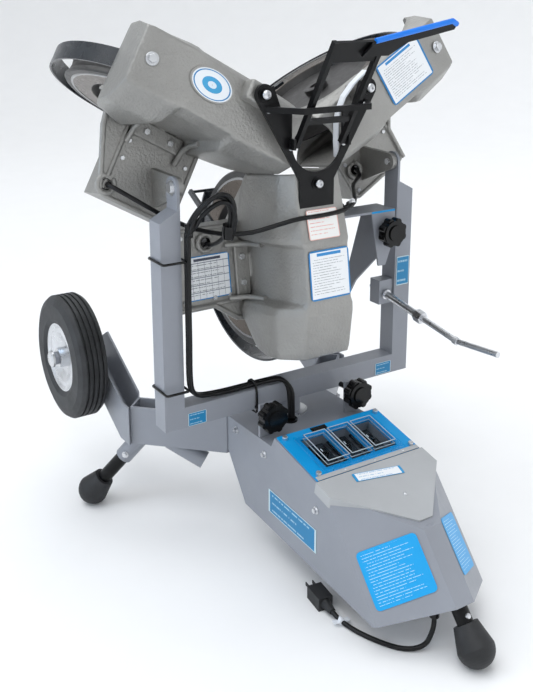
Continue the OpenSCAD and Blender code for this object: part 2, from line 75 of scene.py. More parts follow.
# Routes in millimetres, the same points as the CAD tubes'
CORD_R = 0.004
ROUTE_STEPS = 3
CORD_ROUTE = [
    (-115, -298, 12), (-114, -312, 8), (-110, -330, 5), (-104, -355, 4.2), (-92, -387, 4.2), (-76, -415, 4.2),
    (-58, -432, 6), (-42, -440, 13), (-32, -441, 26), (-26, -440, 40), (-26, -440, 56),
]
YOKE_ROUTE = [
    (-226, -28, 608), (-226, -27, 590), (-226, -26, 540), (-226, -25, 480), (-226, -25, 420), (-226, -24, 360),
    (-220, -18, 328), (-204, -9, 310), (-180, -4, 303), (-140, -2, 300), (-100, -2, 300), (-60, -6, 302),
    (-34, -18, 303), (-26, -32, 290), (-26, -38, 262), (-26, -40, 231),
]
HEAD_ROUTES = [
    [(-160, -46, 600), (-160, -56, 620), (-164, -66, 644), (-174, -72, 664), (-190, -72, 672),
     (-206, -64, 664), (-216, -50, 648), (-222, -36, 628), (-226, -28, 611)],
    [(-317, 78, 681), (-310, 58, 676), (-280, 42, 655), (-230, 36, 622), (-190, 6, 602), (-160, -44, 599)],
    [(204, 74, 654), (194, 50, 648), (150, 12, 640), (106, -46, 640), (76, -86, 634), (44, -98, 626),
     (0, -99, 623), (-50, -97, 622), (-84, -83, 613), (-120, -62, 601), (-156, -48, 600)],
    [(-140, 62, 557), (-140, 40, 560), (-148, 0, 576), (-158, -42, 598)],
]


def smooth_points(route, steps):
    """Catmull-Rom points through a listed route in millimetres, given back in metres."""
    pts = [Vector(p) * MM for p in route]
    out = []
    for i in range(len(pts) - 1):
        a, b, c = pts[max(i - 1, 0)], pts[i], pts[i + 1]
        d = pts[min(i + 2, len(pts) - 1)]
        for k in range(steps):
            u = k / steps
            out.append(0.5 * (2 * b + (c - a) * u + (2 * a - 5 * b + 4 * c - d) * u * u
                              + (3 * b - a - 3 * c + d) * u ** 3))
    return out + [pts[-1]]


def swept_curve(name, lines, radius, resolution, cyclic=False):
    """A round bar along each line of points in metres, as one curve object."""
    data = bpy.data.curves.new(name, "CURVE")
    data.dimensions = "3D"
    data.bevel_depth = radius
    data.bevel_resolution = resolution
    data.use_fill_caps = not cyclic
    for points in lines:
        spline = data.splines.new("POLY")
        spline.points.add(len(points) - 1)
        for point, co in zip(spline.points, points):
            point.co = (*co, 1)
        spline.use_cyclic_u = cyclic
        spline.use_smooth = True
    obj = bpy.data.objects.new(name, data)
    bpy.context.scene.collection.objects.link(obj)
    return obj


def tube(name, routes, radius, body):
    """A cable with one strand for each route, as a mesh."""
    line = swept_curve(name, [smooth_points(route, ROUTE_STEPS) for route in routes], radius, 5)
    data = line.data
    line.name = name + "_line"
    shown = line.evaluated_get(bpy.context.evaluated_depsgraph_get())
    mesh = bpy.data.meshes.new_from_object(shown)
    mesh.name = name
    mesh.polygons.foreach_set("use_smooth", [True] * len(mesh.polygons))
    piece = bpy.data.objects.new(name, mesh)
    bpy.context.scene.collection.objects.link(piece)
    bpy.data.objects.remove(line)
    bpy.data.curves.remove(data)
    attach(piece, body)
    return piece


power_cord = tube("power_cord_jacket", [CORD_ROUTE], CORD_R, "base")
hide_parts("power_cord")

# The yoke's cable has a second strand beside the first, down into the same grommet
SECOND_STRAND = [(x, y - 7.6, z) for x, y, z in YOKE_ROUTE[:-3]]
SECOND_STRAND += [(-22, -38, 286), (-21, -41, 262), (-22, -43, 231)]
yoke_cable = tube("yoke_cable_jacket", [YOKE_ROUTE, SECOND_STRAND], CORD_R, "yoke")
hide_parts("harness_yoke")
head_cable = tube("head_cable_jacket", HEAD_ROUTES, CORD_R, "head")
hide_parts("harness_head")
spare_loops = [[(x + dx, y + dy, z + dz) for x, y, z in HEAD_ROUTES[0][:-1]] + [(-225, -30 + dy, 606)]
               for dx, dy, dz in ((7, -3, -9), (3, -8, 5))]
head_loops = tube("head_cable_loops", spare_loops, CORD_R, "head")


# ---------------------------------------------------------------- materials

class Graph:
    """A material's node tree with short calls for the nodes that every finish uses."""

    def __init__(self, name):
        self.mat = bpy.data.materials.new(name)
        self.mat.use_nodes = True
        self.tree = self.mat.node_tree
        self.bsdf = self.tree.nodes["Principled BSDF"]
        self.coord = self.tree.nodes.new("ShaderNodeTexCoord")

    def node(self, kind, **values):
        made = self.tree.nodes.new(kind)
        for key, value in values.items():
            setattr(made, key, value)
        return made

    def link(self, out, into):
        self.tree.links.new(out, into)

    def noise(self, scale, detail=3.0, rough=0.55):
        made = self.node("ShaderNodeTexNoise")
        made.inputs["Scale"].default_value = scale
        made.inputs["Detail"].default_value = detail
        made.inputs["Roughness"].default_value = rough
        self.link(self.coord.outputs["Object"], made.inputs["Vector"])
        return made.outputs["Fac"]

    def ramp(self, fac, stops):
        made = self.node("ShaderNodeValToRGB")
        elements = made.color_ramp.elements
        while len(elements) < len(stops):
            elements.new(0.5)
        for element, (place, colour) in zip(elements, stops):
            element.position = place
            element.color = (*colour, 1)
        self.link(fac, made.inputs["Fac"])
        return made.outputs["Color"]

    def spread(self, fac, low, high):
        made = self.node("ShaderNodeMapRange")
        made.inputs["To Min"].default_value = low
        made.inputs["To Max"].default_value = high
        self.link(fac, made.inputs["Value"])
        return made.outputs["Result"]

    def bump(self, fac, strength, distance):
        made = self.node("ShaderNodeBump")
        made.inputs["Strength"].default_value = strength
        made.inputs["Distance"].default_value = distance
        self.link(fac, made.inputs["Height"])
        self.link(made.outputs["Normal"], self.bsdf.inputs["Normal"])


def coat(name, colour, rough=0.45, vary=0.12, grain=900, grain_depth=0.0002, grain_strength=0.4,
         metallic=0.0, specular=0.5):
    """A coated or moulded surface: slow colour drift, fine grain in the relief, uneven gloss."""
    g = Graph(name)
    base = Vector(colour)
    dark, light = base * (1 - vary), base * (1 + vary * 0.6)
    drift = g.noise(7, 5, 0.6)
    g.link(g.ramp(drift, [(0.3, dark), (0.7, light)]), g.bsdf.inputs["Base Color"])
    g.link(g.spread(g.noise(38, 3), max(rough - 0.1, 0.03), min(rough + 0.12, 1)), g.bsdf.inputs["Roughness"])
    g.bsdf.inputs["Metallic"].default_value = metallic
    g.bsdf.inputs["Specular IOR Level"].default_value = specular
    g.bump(g.noise(grain, 2, 0.5), grain_strength, grain_depth)
    return g.mat


def stripes(name, back, ink, rows, border, rim, heading=None, columns=0):
    """A label: a plain field with a coloured border, rows of grey lines and a heading bar.

    It reads the label's own coordinates, from 0 to 1 both ways, kept in its UV map.
    """
    g = Graph(name)
    split = g.node("ShaderNodeSeparateXYZ")
    g.link(g.coord.outputs["UV"], split.inputs["Vector"])
    across, up = split.outputs["X"], split.outputs["Y"]

    def calc(kind, a, b=None, c=None):
        made = g.node("ShaderNodeMath", operation=kind)
        for socket, value in zip(made.inputs, (a, b, c)):
            if value is None:
                continue
            if isinstance(value, (int, float)):
                socket.default_value = value
            else:
                g.link(value, socket)
        return made.outputs[0]

    def inside(value, low, high):
        return calc("MULTIPLY", calc("GREATER_THAN", value, low), calc("LESS_THAN", value, high))

    field = calc("MULTIPLY", inside(across, rim, 1 - rim), inside(up, rim, 1 - rim))
    row = calc("FRACT", calc("MULTIPLY", up, rows))
    line_no = calc("FLOOR", calc("MULTIPLY", up, rows))
    ragged = g.node("ShaderNodeTexWhiteNoise", noise_dimensions="1D")
    g.link(line_no, ragged.inputs["W"])
    reach = calc("MULTIPLY_ADD", ragged.outputs["Value"], 0.35, 0.55)
    words = g.node("ShaderNodeTexNoise", noise_dimensions="2D")
    words.inputs["Scale"].default_value = 1
    pack = g.node("ShaderNodeCombineXYZ")
    g.link(calc("MULTIPLY", across, 42), pack.inputs["X"])
    g.link(calc("MULTIPLY", line_no, 7.3), pack.inputs["Y"])
    g.link(pack.outputs["Vector"], words.inputs["Vector"])
    marks = calc("MULTIPLY", inside(row, 0.38, 0.58), calc("GREATER_THAN", words.outputs["Fac"], 0.42))
    marks = calc("MULTIPLY", marks, calc("LESS_THAN", across, reach))
    marks = calc("MULTIPLY", marks, calc("MULTIPLY", calc("GREATER_THAN", across, rim + 0.05),
                                         inside(up, rim + 0.05, 0.86 if heading else 0.97)))
    mix = g.node("ShaderNodeMix", data_type="RGBA")
    mix.inputs["A"].default_value = (*back, 1)
    mix.inputs["B"].default_value = (*ink, 1)
    g.link(calc("MULTIPLY", marks, 0.7), mix.inputs["Factor"])
    colour = mix.outputs["Result"]
    if heading:
        top = g.node("ShaderNodeMix", data_type="RGBA")
        g.link(colour, top.inputs["A"])
        top.inputs["B"].default_value = (*heading, 1)
        g.link(calc("MULTIPLY", inside(up, 0.88, 0.94), inside(across, 0.2, 0.8)), top.inputs["Factor"])
        colour = top.outputs["Result"]
    if columns:
        cell = calc("FRACT", calc("MULTIPLY", across, columns))
        grid = g.node("ShaderNodeMix", data_type="RGBA")
        g.link(colour, grid.inputs["A"])
        grid.inputs["B"].default_value = (0.12, 0.14, 0.2, 1)
        tall = calc("LESS_THAN", calc("FRACT", calc("MULTIPLY", up, rows / 2)), 0.09)
        g.link(calc("MULTIPLY", calc("LESS_THAN", up, 0.86),
                    calc("MAXIMUM", calc("LESS_THAN", cell, 0.04), tall)), grid.inputs["Factor"])
        colour = grid.outputs["Result"]
    edge = g.node("ShaderNodeMix", data_type="RGBA")
    edge.inputs["A"].default_value = (*border, 1)
    g.link(colour, edge.inputs["B"])
    g.link(field, edge.inputs["Factor"])
    g.link(edge.outputs["Result"], g.bsdf.inputs["Base Color"])
    g.bsdf.inputs["Roughness"].default_value = 0.38
    g.bump(g.noise(240, 2), 0.08, 0.0002)
    return g.mat


def rubber(name, colour, rough, grain=500):
    """Rubber with dusty patches and a fine relief."""
    g = Graph(name)
    base = Vector(colour)
    g.link(g.ramp(g.noise(22, 6, 0.7), [(0.35, base * 0.7), (0.75, base * 1.7)]), g.bsdf.inputs["Base Color"])
    g.link(g.spread(g.noise(60, 4), rough - 0.12, rough + 0.12), g.bsdf.inputs["Roughness"])
    g.bump(g.noise(grain, 4, 0.6), 0.35, 0.0003)
    return g.mat


def metal(name, colour, rough):
    """Bare or plated metal, with uneven gloss."""
    g = Graph(name)
    base = Vector(colour)
    g.bsdf.inputs["Metallic"].default_value = 1
    g.link(g.ramp(g.noise(16, 5, 0.6), [(0.3, base * 0.82), (0.72, base)]), g.bsdf.inputs["Base Color"])
    g.link(g.spread(g.noise(90, 4, 0.6), rough - 0.08, rough + 0.14), g.bsdf.inputs["Roughness"])
    g.bump(g.noise(420, 3, 0.5), 0.16, 0.0001)
    return g.mat


def clear_plastic(name):
    """Clear sheet plastic. Its low index keeps what is under it in view."""
    g = Graph(name)
    g.bsdf.inputs["Base Color"].default_value = (0.9, 0.96, 1, 1)
    g.bsdf.inputs["Transmission Weight"].default_value = 1
    g.bsdf.inputs["IOR"].default_value = 1.1
    g.link(g.spread(g.noise(30, 4), 0.02, 0.1), g.bsdf.inputs["Roughness"])
    g.bump(g.noise(60, 2), 0.05, 0.0002)
    return g.mat


FINISH = {
    "frame_paint": coat("frame_paint", (0.27, 0.285, 0.32), 0.4, 0.07, 1400, 0.00012, 0.35),
    "lid_paint": coat("lid_paint", (0.42, 0.43, 0.44), 0.42, 0.07, 1400, 0.00012, 0.35),
    "cast_paint": coat("cast_paint", (0.33, 0.325, 0.31), 0.42, 0.14, 210, 0.0016, 0.9, metallic=0.55),
    "black_paint": coat("black_paint", (0.004, 0.004, 0.0045), 0.34, 0.3, 1100, 0.00015, 0.3, specular=0.22),
    "motor_black": coat("motor_black", (0.02, 0.02, 0.022), 0.42, 0.3, 800, 0.0002, 0.3),
    "blue_panel": coat("blue_panel", (0.0, 0.30, 0.68), 0.3, 0.06, 900, 0.0001, 0.12, specular=0.3),
    "bright_blue": coat("bright_blue", (0.0, 0.19, 0.78), 0.4, 0.1, 700, 0.0002, 0.2),
    "clear_cover": clear_plastic("clear_cover"),
    "black_plastic": coat("black_plastic", (0.003, 0.003, 0.0032), 0.18, 0.3, 300, 0.0002, 0.12, specular=0.3),
    "white_plastic": coat("white_plastic", (0.8, 0.83, 0.88), 0.4, 0.05, 400, 0.0001, 0.15),
    "zinc": metal("zinc", (0.72, 0.73, 0.75), 0.26),
    "disc_metal": metal("disc_metal", (0.12, 0.1, 0.085), 0.26),
    "disc_rim": metal("disc_rim", (0.3, 0.3, 0.3), 0.2),
    "satin_black": coat("satin_black", (0.012, 0.016, 0.022), 0.27, 0.2, 900, 0.0001, 0.15, specular=0.6),
    "clear_edge": coat("clear_edge", (0.5, 0.58, 0.62), 0.15, 0.1, 500, 0.0001, 0.1),
    "tyre_rubber": rubber("tyre_rubber", (0.022, 0.023, 0.025), 0.6),
    "wheel_rubber": rubber("wheel_rubber", (0.035, 0.033, 0.032), 0.42, 900),
    "foot_rubber": rubber("foot_rubber", (0.014, 0.0145, 0.016), 0.6),
    "cord_rubber": coat("cord_rubber", (0.004, 0.004, 0.0045), 0.35, 0.4, 1200, 0.0002, 0.3, specular=0.3),
    # Near-black finish for the well floors: painted shade for the recesses under the clear cover
    "painted_well_shade": coat("painted_well_shade", (0.02, 0.024, 0.03), 0.4, 0.3, 300, 0.0003, 0.2),
}
SLOT_OF = {s["node"]: s["material_slot"] for s in RECORD["subparts"]}


def paint(obj, finish):
    obj.data.materials.clear()
    obj.data.materials.append(FINISH[finish])


for node_name, node_object in NODES.items():
    paint(node_object, SLOT_OF[node_name])
for cable in (power_cord, yoke_cable, head_cable, head_loops):
    paint(cable, "cord_rubber")


# ---------------------------------------------------------------- mesh helpers

LABEL_ROUNDING = 0.08


def add_mesh(name, verts, faces, finish, body, smooth=False, uvs=None):
    mesh = bpy.data.meshes.new(name)
    mesh.from_pydata([tuple(v) for v in verts], [], faces)
    mesh.validate()
    if uvs:
        layer = mesh.uv_layers.new(name="UVMap")
        for loop in mesh.loops:
            layer.data[loop.index].uv = uvs[loop.vertex_index]
    for polygon in mesh.polygons:
        polygon.use_smooth = smooth
    obj = bpy.data.objects.new(name, mesh)
    bpy.context.scene.collection.objects.link(obj)
    obj.data.materials.append(FINISH[finish] if isinstance(finish, str) else finish)
    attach(obj, body)
    return obj


def soften(obj, width, segments=3, angle=32):
    """Rounds an object's edges by a bevel modifier, and shades it smooth between sharp edges."""
    bevel = obj.modifiers.new("round", "BEVEL")
    bevel.width = width
    bevel.segments = segments
    bevel.limit_method = "ANGLE"
    bevel.angle_limit = math.radians(angle)
    bevel.harden_normals = True


def axes_of(direction):
    along = Vector(direction).normalized()
    side = along.cross(UP if abs(along.z) < 0.9 else Vector((1, 0, 0))).normalized()
    return along, side, along.cross(side)


def lathe(name, profile, origin, direction, finish, body, segments=72, closed=True):
    """A turned piece. The profile is a list of (radius, distance along the axis) in metres."""
    along, side, third = axes_of(direction)
    origin = Vector(origin)
    verts, faces = [], []
    for k in range(segments):
        a = math.tau * k / segments
        out = side * math.cos(a) + third * math.sin(a)
        verts += [origin + out * r + along * d for r, d in profile]
    n = len(profile)
    last = n if closed else n - 1
    for k in range(segments):
        nxt = (k + 1) % segments
        for i in range(last):
            j = (i + 1) % n
            faces.append((k * n + i, nxt * n + i, nxt * n + j, k * n + j))
    obj = add_mesh(name, verts, faces, finish, body, smooth=True)
    obj.data.set_sharp_from_angle(angle=math.radians(32))
    return obj


def label(name, centre, right, up, width, height, finish, body, lift=0.0004):
    """A thin printed label with rounded corners and its own 0 to 1 coordinates."""
    centre, right, up = Vector(centre), Vector(right).normalized(), Vector(up).normalized()
    normal = right.cross(up).normalized()
    r = LABEL_ROUNDING * min(width, height)
    ring = []
    for cx, cy, start in ((1, 1, 0), (-1, 1, 90), (-1, -1, 180), (1, -1, 270)):
        for k in range(5):
            a = math.radians(start + 22.5 * k)
            ring.append((cx * (width / 2 - r) + r * math.cos(a), cy * (height / 2 - r) + r * math.sin(a)))
    verts, uvs = [], []
    for level in (0.0, lift):
        for x, y in ring:
            verts.append(centre + right * x + up * y + normal * level)
            uvs.append((x / width + 0.5, y / height + 0.5))
    n = len(ring)
    faces = [tuple(range(n - 1, -1, -1)), tuple(range(n, 2 * n))]
    faces += [(i, (i + 1) % n, n + (i + 1) % n, n + i) for i in range(n)]
    return add_mesh(name, verts, faces, finish, body, uvs=uvs)


# ---------------------------------------------------------------- frames

def shift(x, y, z):
    return Matrix.Translation((x * MM, y * MM, z * MM))


def turn(axis, degrees):
    return Matrix.Rotation(math.radians(degrees), 4, axis)


def pivot(joint):
    """Where a joint of the record is, as a vector in metres."""
    return Vector(JOINTS[joint]["pos_m"])


HEAD = Matrix.Translation(pivot("head_tilt")) @ turn("X", -8)
CONSOLE = shift(0, -120, 248.5) @ turn("X", 12.6)
LEAN = turn("X", -40)
REAR_LEG = shift(0, -505, 30) @ turn("Z", 270) @ turn("Y", -40)
FEED = Matrix.Translation(pivot("feed_swing")) @ turn("X", 31)
MIRROR = Matrix.Scale(-1, 4, (1, 0, 0))


def unit_frame(angle, flip=False):
    """Frame of one throwing unit: Z out from the ball line, X toward the motor, Y forward."""
    made = HEAD @ shift(0, 0, 38) @ turn("Y", 90 - angle)
    return made @ MIRROR if flip else made


UNITS = {"left": unit_frame(150, True), "right": unit_frame(30), "bottom": unit_frame(270)}


def at(matrix, x, y, z):
    return matrix @ Vector((x * MM, y * MM, z * MM))


def way(matrix, x, y, z):
    return (matrix.to_3x3() @ Vector((x, y, z))).normalized()


def poly_in(name, matrix, points, faces, finish, body):
    """A mesh whose points are in millimetres in a named frame, with its faces turned outward."""
    obj = add_mesh(name, [at(matrix, *p) for p in points], faces, finish, body)
    bm = bmesh.new()
    bm.from_mesh(obj.data)
    bmesh.ops.recalc_face_normals(bm, faces=bm.faces)
    bm.to_mesh(obj.data)
    bm.free()
    return obj


def block(name, matrix, low, high, finish, body, round_mm=0):
    """A box between two corners in a frame, in millimetres, with its edges rounded."""
    (x0, y0, z0), (x1, y1, z1) = low, high
    points = [(x, y, z) for x in (x0, x1) for y in (y0, y1) for z in (z0, z1)]
    faces = [(0, 1, 3, 2), (4, 6, 7, 5), (0, 4, 5, 1), (2, 3, 7, 6), (0, 2, 6, 4), (1, 5, 7, 3)]
    obj = poly_in(name, matrix, points, faces, finish, body)
    if round_mm:
        soften(obj, round_mm * MM)


def bar_path(name, points, radius, finish, body, cyclic=False):
    """A round bar or bead through points in metres."""
    obj = swept_curve(name, [points], radius, 4, cyclic)
    obj.data.materials.append(FINISH[finish])
    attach(obj, body)


def rounded_ring(matrix, plane_w, t0, t1, r0, r1, corner):
    """Points of a rounded rectangle in a unit's rear plane."""
    out = []
    for ct, cr, start in ((t1, r1, 0), (t0, r1, 90), (t0, r0, 180), (t1, r0, 270)):
        st = 1 if ct == t1 else -1
        sr = 1 if cr == r1 else -1
        for k in range(6):
            a = math.radians(start + 18 * k)
            out.append(at(matrix, ct - st * corner + corner * math.cos(a), plane_w,
                          cr - sr * corner + corner * math.sin(a)))
    return out


def hex_bolt(name, place, direction, size, body, washer=True, domed=False):
    """A bolt head on its washer. size is the half-width of the head in millimetres."""
    s = size * MM
    if washer:
        ring = [(s * r, s * d) for r, d in ((0.4, 0), (1.55, 0), (1.55, 0.18), (1.45, 0.28), (0.4, 0.28))]
        lathe(name + "_washer", ring, place, direction, "zinc", body, segments=32)
    base = Vector(place) + Vector(direction).normalized() * (s * 0.26 if washer else 0)
    if domed:
        arc = [math.radians(a) for a in range(0, 91, 15)]
        curve = [(s * 1.05 * math.cos(a), s * 0.75 * math.sin(a)) for a in arc]
        curve[-1] = (s * 0.35, s * 0.75)
        lathe(name, [(0.0001, 0)] + curve + [(s * 0.35, s * 0.4), (0.0001, s * 0.4)], base, direction, "zinc",
              body, segments=28, closed=False)
        return
    along, side, third = axes_of(direction)
    verts, n = [], 6
    for level, scale in ((0, 1), (0.72, 1), (0.86, 0.86)):
        for k in range(n):
            a = math.radians(60 * k + 12)
            verts.append(base + along * (s * level) + (side * math.cos(a) + third * math.sin(a)) * s * 1.1 * scale)
    faces = [tuple(range(n - 1, -1, -1)), tuple(range(2 * n, 3 * n))]
    for band in (0, n):
        faces += [(band + i, band + (i + 1) % n, band + n + (i + 1) % n, band + n + i) for i in range(n)]
    soften(add_mesh(name, verts, faces, "zinc", body), s * 0.06, 2)


# ---------------------------------------------------------------- soft edges on the frame's own parts

for part in ("box_shell", "box_lid", "yoke_frame", "arm_left", "arm_right", "wheel_bracket_left",
             "wheel_bracket_right", "lock_plate_left", "lock_plate_right"):
    soften(NODES[part], 0.0016, 2, 30)
for part in ("tray_left", "tray_right", "tray_bottom"):
    soften(NODES[part], 0.0022, 3, 30)
for part in ("feed_bracket", "feed_arm", "feed_blade", "lift_lever", "crank_block", "guard_left", "guard_right",
             "guard_bottom", "console_plate", "power_plug"):
    soften(NODES[part], 0.0007, 2, 30)
for part in ("knob_left", "knob_right", "knob_lift"):
    soften(NODES[part], 0.002, 3, 30)
paint(NODES["feed_blade"], "black_paint")
for part in ("guard_left", "guard_right", "guard_bottom"):
    paint(NODES[part], "satin_black")


# ---------------------------------------------------------------- castings

# One row per station along the casting, in millimetres: distance out, half-width of the rear face,
# half-width on the far side, half-width on the motor side, rear plane, where the draft ends, and the
# front edges of the far wall and of the motor wall
SECTIONS = [
    (34, 43, 55, 58, -81, -50, 40, 60), (66, 45, 56, 64, -81, -48, -66, 98),
    (152, 47, 56, 72, -81, -40, -66, 183), (162, 44, 54, 54, -81, -54, -66, 186),
    (256, 44, 54, 54, -81, -54, -66, 183), (266, 47, 56, 74, -81, -40, -66, 178),
    (280, 48, 56, 80, -81, -34, -64, 150), (346, 48, 58, 78, -76, -30, -20, 34),
    (358, 46, 58, 74, -72, -30, 0, 8),
]
BULGE = {34: 0, 66: 1, 152: 14, 162: 14, 256: 14, 266: 14, 280: 12, 346: 0, 358: 0}
# Distance out of the first row's points, so that the web ends on the round throat
THROAT_ARC = {3: 34, 4: 45.5, 5: 50.5, 6: 45.5, 7: 34}

# Crease of the edges that run along the casting, by their place in a row
RUN_CREASE = {0: 1, 2: 0.55, 3: 0.62, 7: 0.62, 8: 0.55, 9: 1, 10: 1, 11: 1}
# How far forward the motor wall reaches before it steps in to the tray
MOTOR_STEP = 82


def casting_skin(side, bulge):
    """A casting's smooth shell, lofted through the sections, in place of the CAD casting."""
    unit = UNITS[side]
    points, n = [], 12
    for row, (r, rear, far, near, back, draft, far_front, front) in enumerate(SECTIONS):
        w = back - (BULGE[r] if bulge else 0)
        stop = min(front, MOTOR_STEP)
        edge = min(draft, far_front - 5)
        loop = [(-far, far_front), (-far, (far_front + edge) / 2), (-far, edge), (-rear, w), (-22, w), (0, w),
                (22, w), (rear, w), (near, draft), (near, stop), (54, stop), (54, front)]
        points += [(t, d, THROAT_ARC.get(k, r) if row == 0 else r) for k, (t, d) in enumerate(loop)]
    faces = []
    for row in range(len(SECTIONS) - 1):
        for k in range(n - 1):
            a = row * n + k
            faces.append((a, a + 1, a + n + 1, a + n))
    last = (len(SECTIONS) - 1) * n
    faces += [(last + 1, last + 2, last + 3, last + 4), (last, last + 1, last + 4, last + 5),
              (last, last + 5, last + 6, last + 11), (last + 6, last + 7, last + 10, last + 11),
              (last + 7, last + 8, last + 9, last + 10)]
    skin = poly_in(f"casting_skin_{side}", unit, points, faces, "cast_paint", "head")
    crease = skin.data.attributes.new("crease_edge", "FLOAT", "EDGE")
    for edge in skin.data.edges:
        i, j = sorted(edge.vertices)
        same_row = i // n == j // n
        row, k = i // n, i % n
        if not same_row:
            crease.data[edge.index].value = RUN_CREASE.get(k, 0)
        elif row in (0, len(SECTIONS) - 1):
            crease.data[edge.index].value = 0.75
        elif row > 1:
            crease.data[edge.index].value = 0.55
    smooth = skin.modifiers.new("smooth", "SUBSURF")
    smooth.levels = smooth.render_levels = 3
    thick = skin.modifiers.new("wall", "SOLIDIFY")
    thick.thickness = 0.005
    thick.offset = -1
    for polygon in skin.data.polygons:
        polygon.use_smooth = True
    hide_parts(f"casting_{side}")


def tray_details(side, port_t, port_r):
    """The tray's web, rim, cable port at (port_t, port_r), screws, flange and ribs."""
    unit = UNITS[side]
    rear = 84
    # Web that runs from the casting's flared end along the tray
    outline = [(56, 312), (92, 306), (168, 277), (199, 266), (199, 258), (56, 258)]
    if side != "left":
        outline = [(56, 300), (86, 296), (130, 266), (199, 266), (199, 258), (56, 258)]
    points = [(t, w, r) for w in (rear - 1, rear + 6) for t, r in outline]
    n = len(outline)
    faces = [tuple(range(n)), tuple(range(2 * n - 1, n - 1, -1))]
    faces += [(k, (k + 1) % n, n + (k + 1) % n, n + k) for k in range(n)]
    web = poly_in(f"tray_web_{side}", unit, points, faces, "cast_paint", "head")
    soften(web, 0.0025)
    edge = [at(unit, t, rear - 2, r) for t, r in outline[:4]]
    bar_path(f"tray_web_edge_{side}", edge, 0.005, "cast_paint", "head")
    rim = rounded_ring(unit, rear, 57, 199, 124, 264, 10)
    bar_path(f"tray_rim_{side}", rim, 0.0042, "cast_paint", "head", cyclic=True)
    ring = [at(unit, port_t + 15 * math.cos(math.radians(a)), rear - 3, port_r + 15 * math.sin(math.radians(a)))
            for a in range(-150, 151, 12)]
    bar_path(f"tray_port_{side}", ring, 0.0048, "cast_paint", "head")
    lathe(f"tray_port_sleeve_{side}", [(0.0086, -0.006), (0.0098, -0.006), (0.0098, 0.004), (0.0086, 0.004)],
          at(unit, port_t, rear - 1, port_r), way(unit, 0, -1, 0), "black_plastic", "head", 40)
    for k, (t, r) in enumerate(((96, 137), (188, 137), (188, 252), (96, 252), (128, 137), (128, 252))):
        if abs(t - port_t) + abs(r - port_r) > 30:
            hex_bolt(f"tray_screw_{side}_{k}", at(unit, t, rear, r), way(unit, 0, -1, 0), 4, "head", washer=False)
    # Flange strip where the tray is bolted to the casting, and the ribs above and below it
    block(f"tray_flange_{side}", unit, (54, 77, 160), (84, 84, 256), "cast_paint", "head", 3)
    for k, r in enumerate((184, 232)):
        hex_bolt(f"flange_bolt_{side}_{k}", at(unit, 70, 77, r), way(unit, 0, -1, 0), 5.5, "head", washer=False)
    for k, r in enumerate((160, 258)):
        rib = [at(unit, t, w, r) for t, w in ((60, 20), (64, 50), (74, 70), (100, 81))]
        bar_path(f"tray_rib_{side}_{k}", rib, 0.005, "cast_paint", "head")


for unit_side, swell in (("left", False), ("right", False), ("bottom", True)):
    casting_skin(unit_side, swell)
tray_details("left", 181, 262)
tray_details("right", 148, 150)
tray_details("bottom", 140, 150)
for unit_side in ("left", "right"):
    hex_bolt(f"end_bolt_{unit_side}", at(UNITS[unit_side], 0, -78.4, 333), way(UNITS[unit_side], 0, -1, 0.16), 7,
             "head")


# ---------------------------------------------------------------- throwing wheels

for unit_side in ("left", "right", "bottom"):
    unit = UNITS[unit_side]
    hub = at(unit, 0, 144, 203)
    for k, facing in enumerate((1, -1)):
        out = way(unit, facing, 0, 0)
        start = hub + out * 0.0214
        lathe(f"disc_{unit_side}_{k}", [(0.1185, 0), (0.152, 0), (0.152, 0.0007), (0.1195, 0.0007)], start, out,
              "disc_metal", f"throw_{unit_side}", 96)
        lathe(f"disc_edge_{unit_side}_{k}", [(0.152, 0), (0.1575, 0), (0.156, 0.0016), (0.152, 0.0012)], start, out,
              "disc_rim", f"throw_{unit_side}", 96)


# ---------------------------------------------------------------- labels

BLUE = (0.0, 0.34, 0.74)
INK = (0.05, 0.06, 0.09)
WHITE = (0.86, 0.88, 0.9)
LABELS = {
    "warning": stripes("label_warning", WHITE, INK, 19, (0.01, 0.2, 0.5), 0.035, heading=(0.02, 0.25, 0.6)),
    "red": stripes("label_red", (0.87, 0.86, 0.84), (0.75, 0.18, 0.12), 8, (0.8, 0.45, 0.4), 0.025),
    "table": stripes("label_table", WHITE, INK, 12, (0.01, 0.2, 0.5), 0.025, heading=(0.05, 0.06, 0.1), columns=7),
    "blue": stripes("label_blue", BLUE, (0.6, 0.85, 0.95), 20, BLUE, 0.02),
    "strip": stripes("label_strip", WHITE, (0.02, 0.3, 0.6), 3, (0.01, 0.3, 0.62), 0.05),
    "panel": stripes("label_panel", (0.003, 0.2, 0.42), (0.5, 0.72, 0.8), 3, (0.55, 0.7, 0.75), 0.03),
}


def unit_label(name, side, t0, t1, r0, r1, w, finish, w_end=None):
    """A label on a casting's rear face, between two widths and two distances out, its head inward."""
    unit = UNITS[side]
    w_end = w if w_end is None else w_end
    low, high = at(unit, (t0 + t1) / 2, w, r0), at(unit, (t0 + t1) / 2, w_end, r1)
    up = low - high
    normal = way(unit, 0, -1, 0)
    right = up.cross(normal)
    label(name, (low + high) / 2, right, up, abs(t1 - t0) * MM, (high - low).length, finish, "head")


right_unit = UNITS["right"]
label("label_right_casting", at(right_unit, -7, -82.6, 243), way(right_unit, 0, 0, 1), way(right_unit, -1, 0, 0),
      0.112, 0.08, LABELS["warning"], "head")
unit_label("label_bottom_upper", "bottom", -29, 35, 97, 148, -88.6, LABELS["red"], -95.6)
unit_label("label_bottom_main", "bottom", -43, 41, 166, 252, -96.8, LABELS["warning"])
unit_label("label_tray_table", "bottom", 93, 184, 172, 252, 83.2, LABELS["table"])


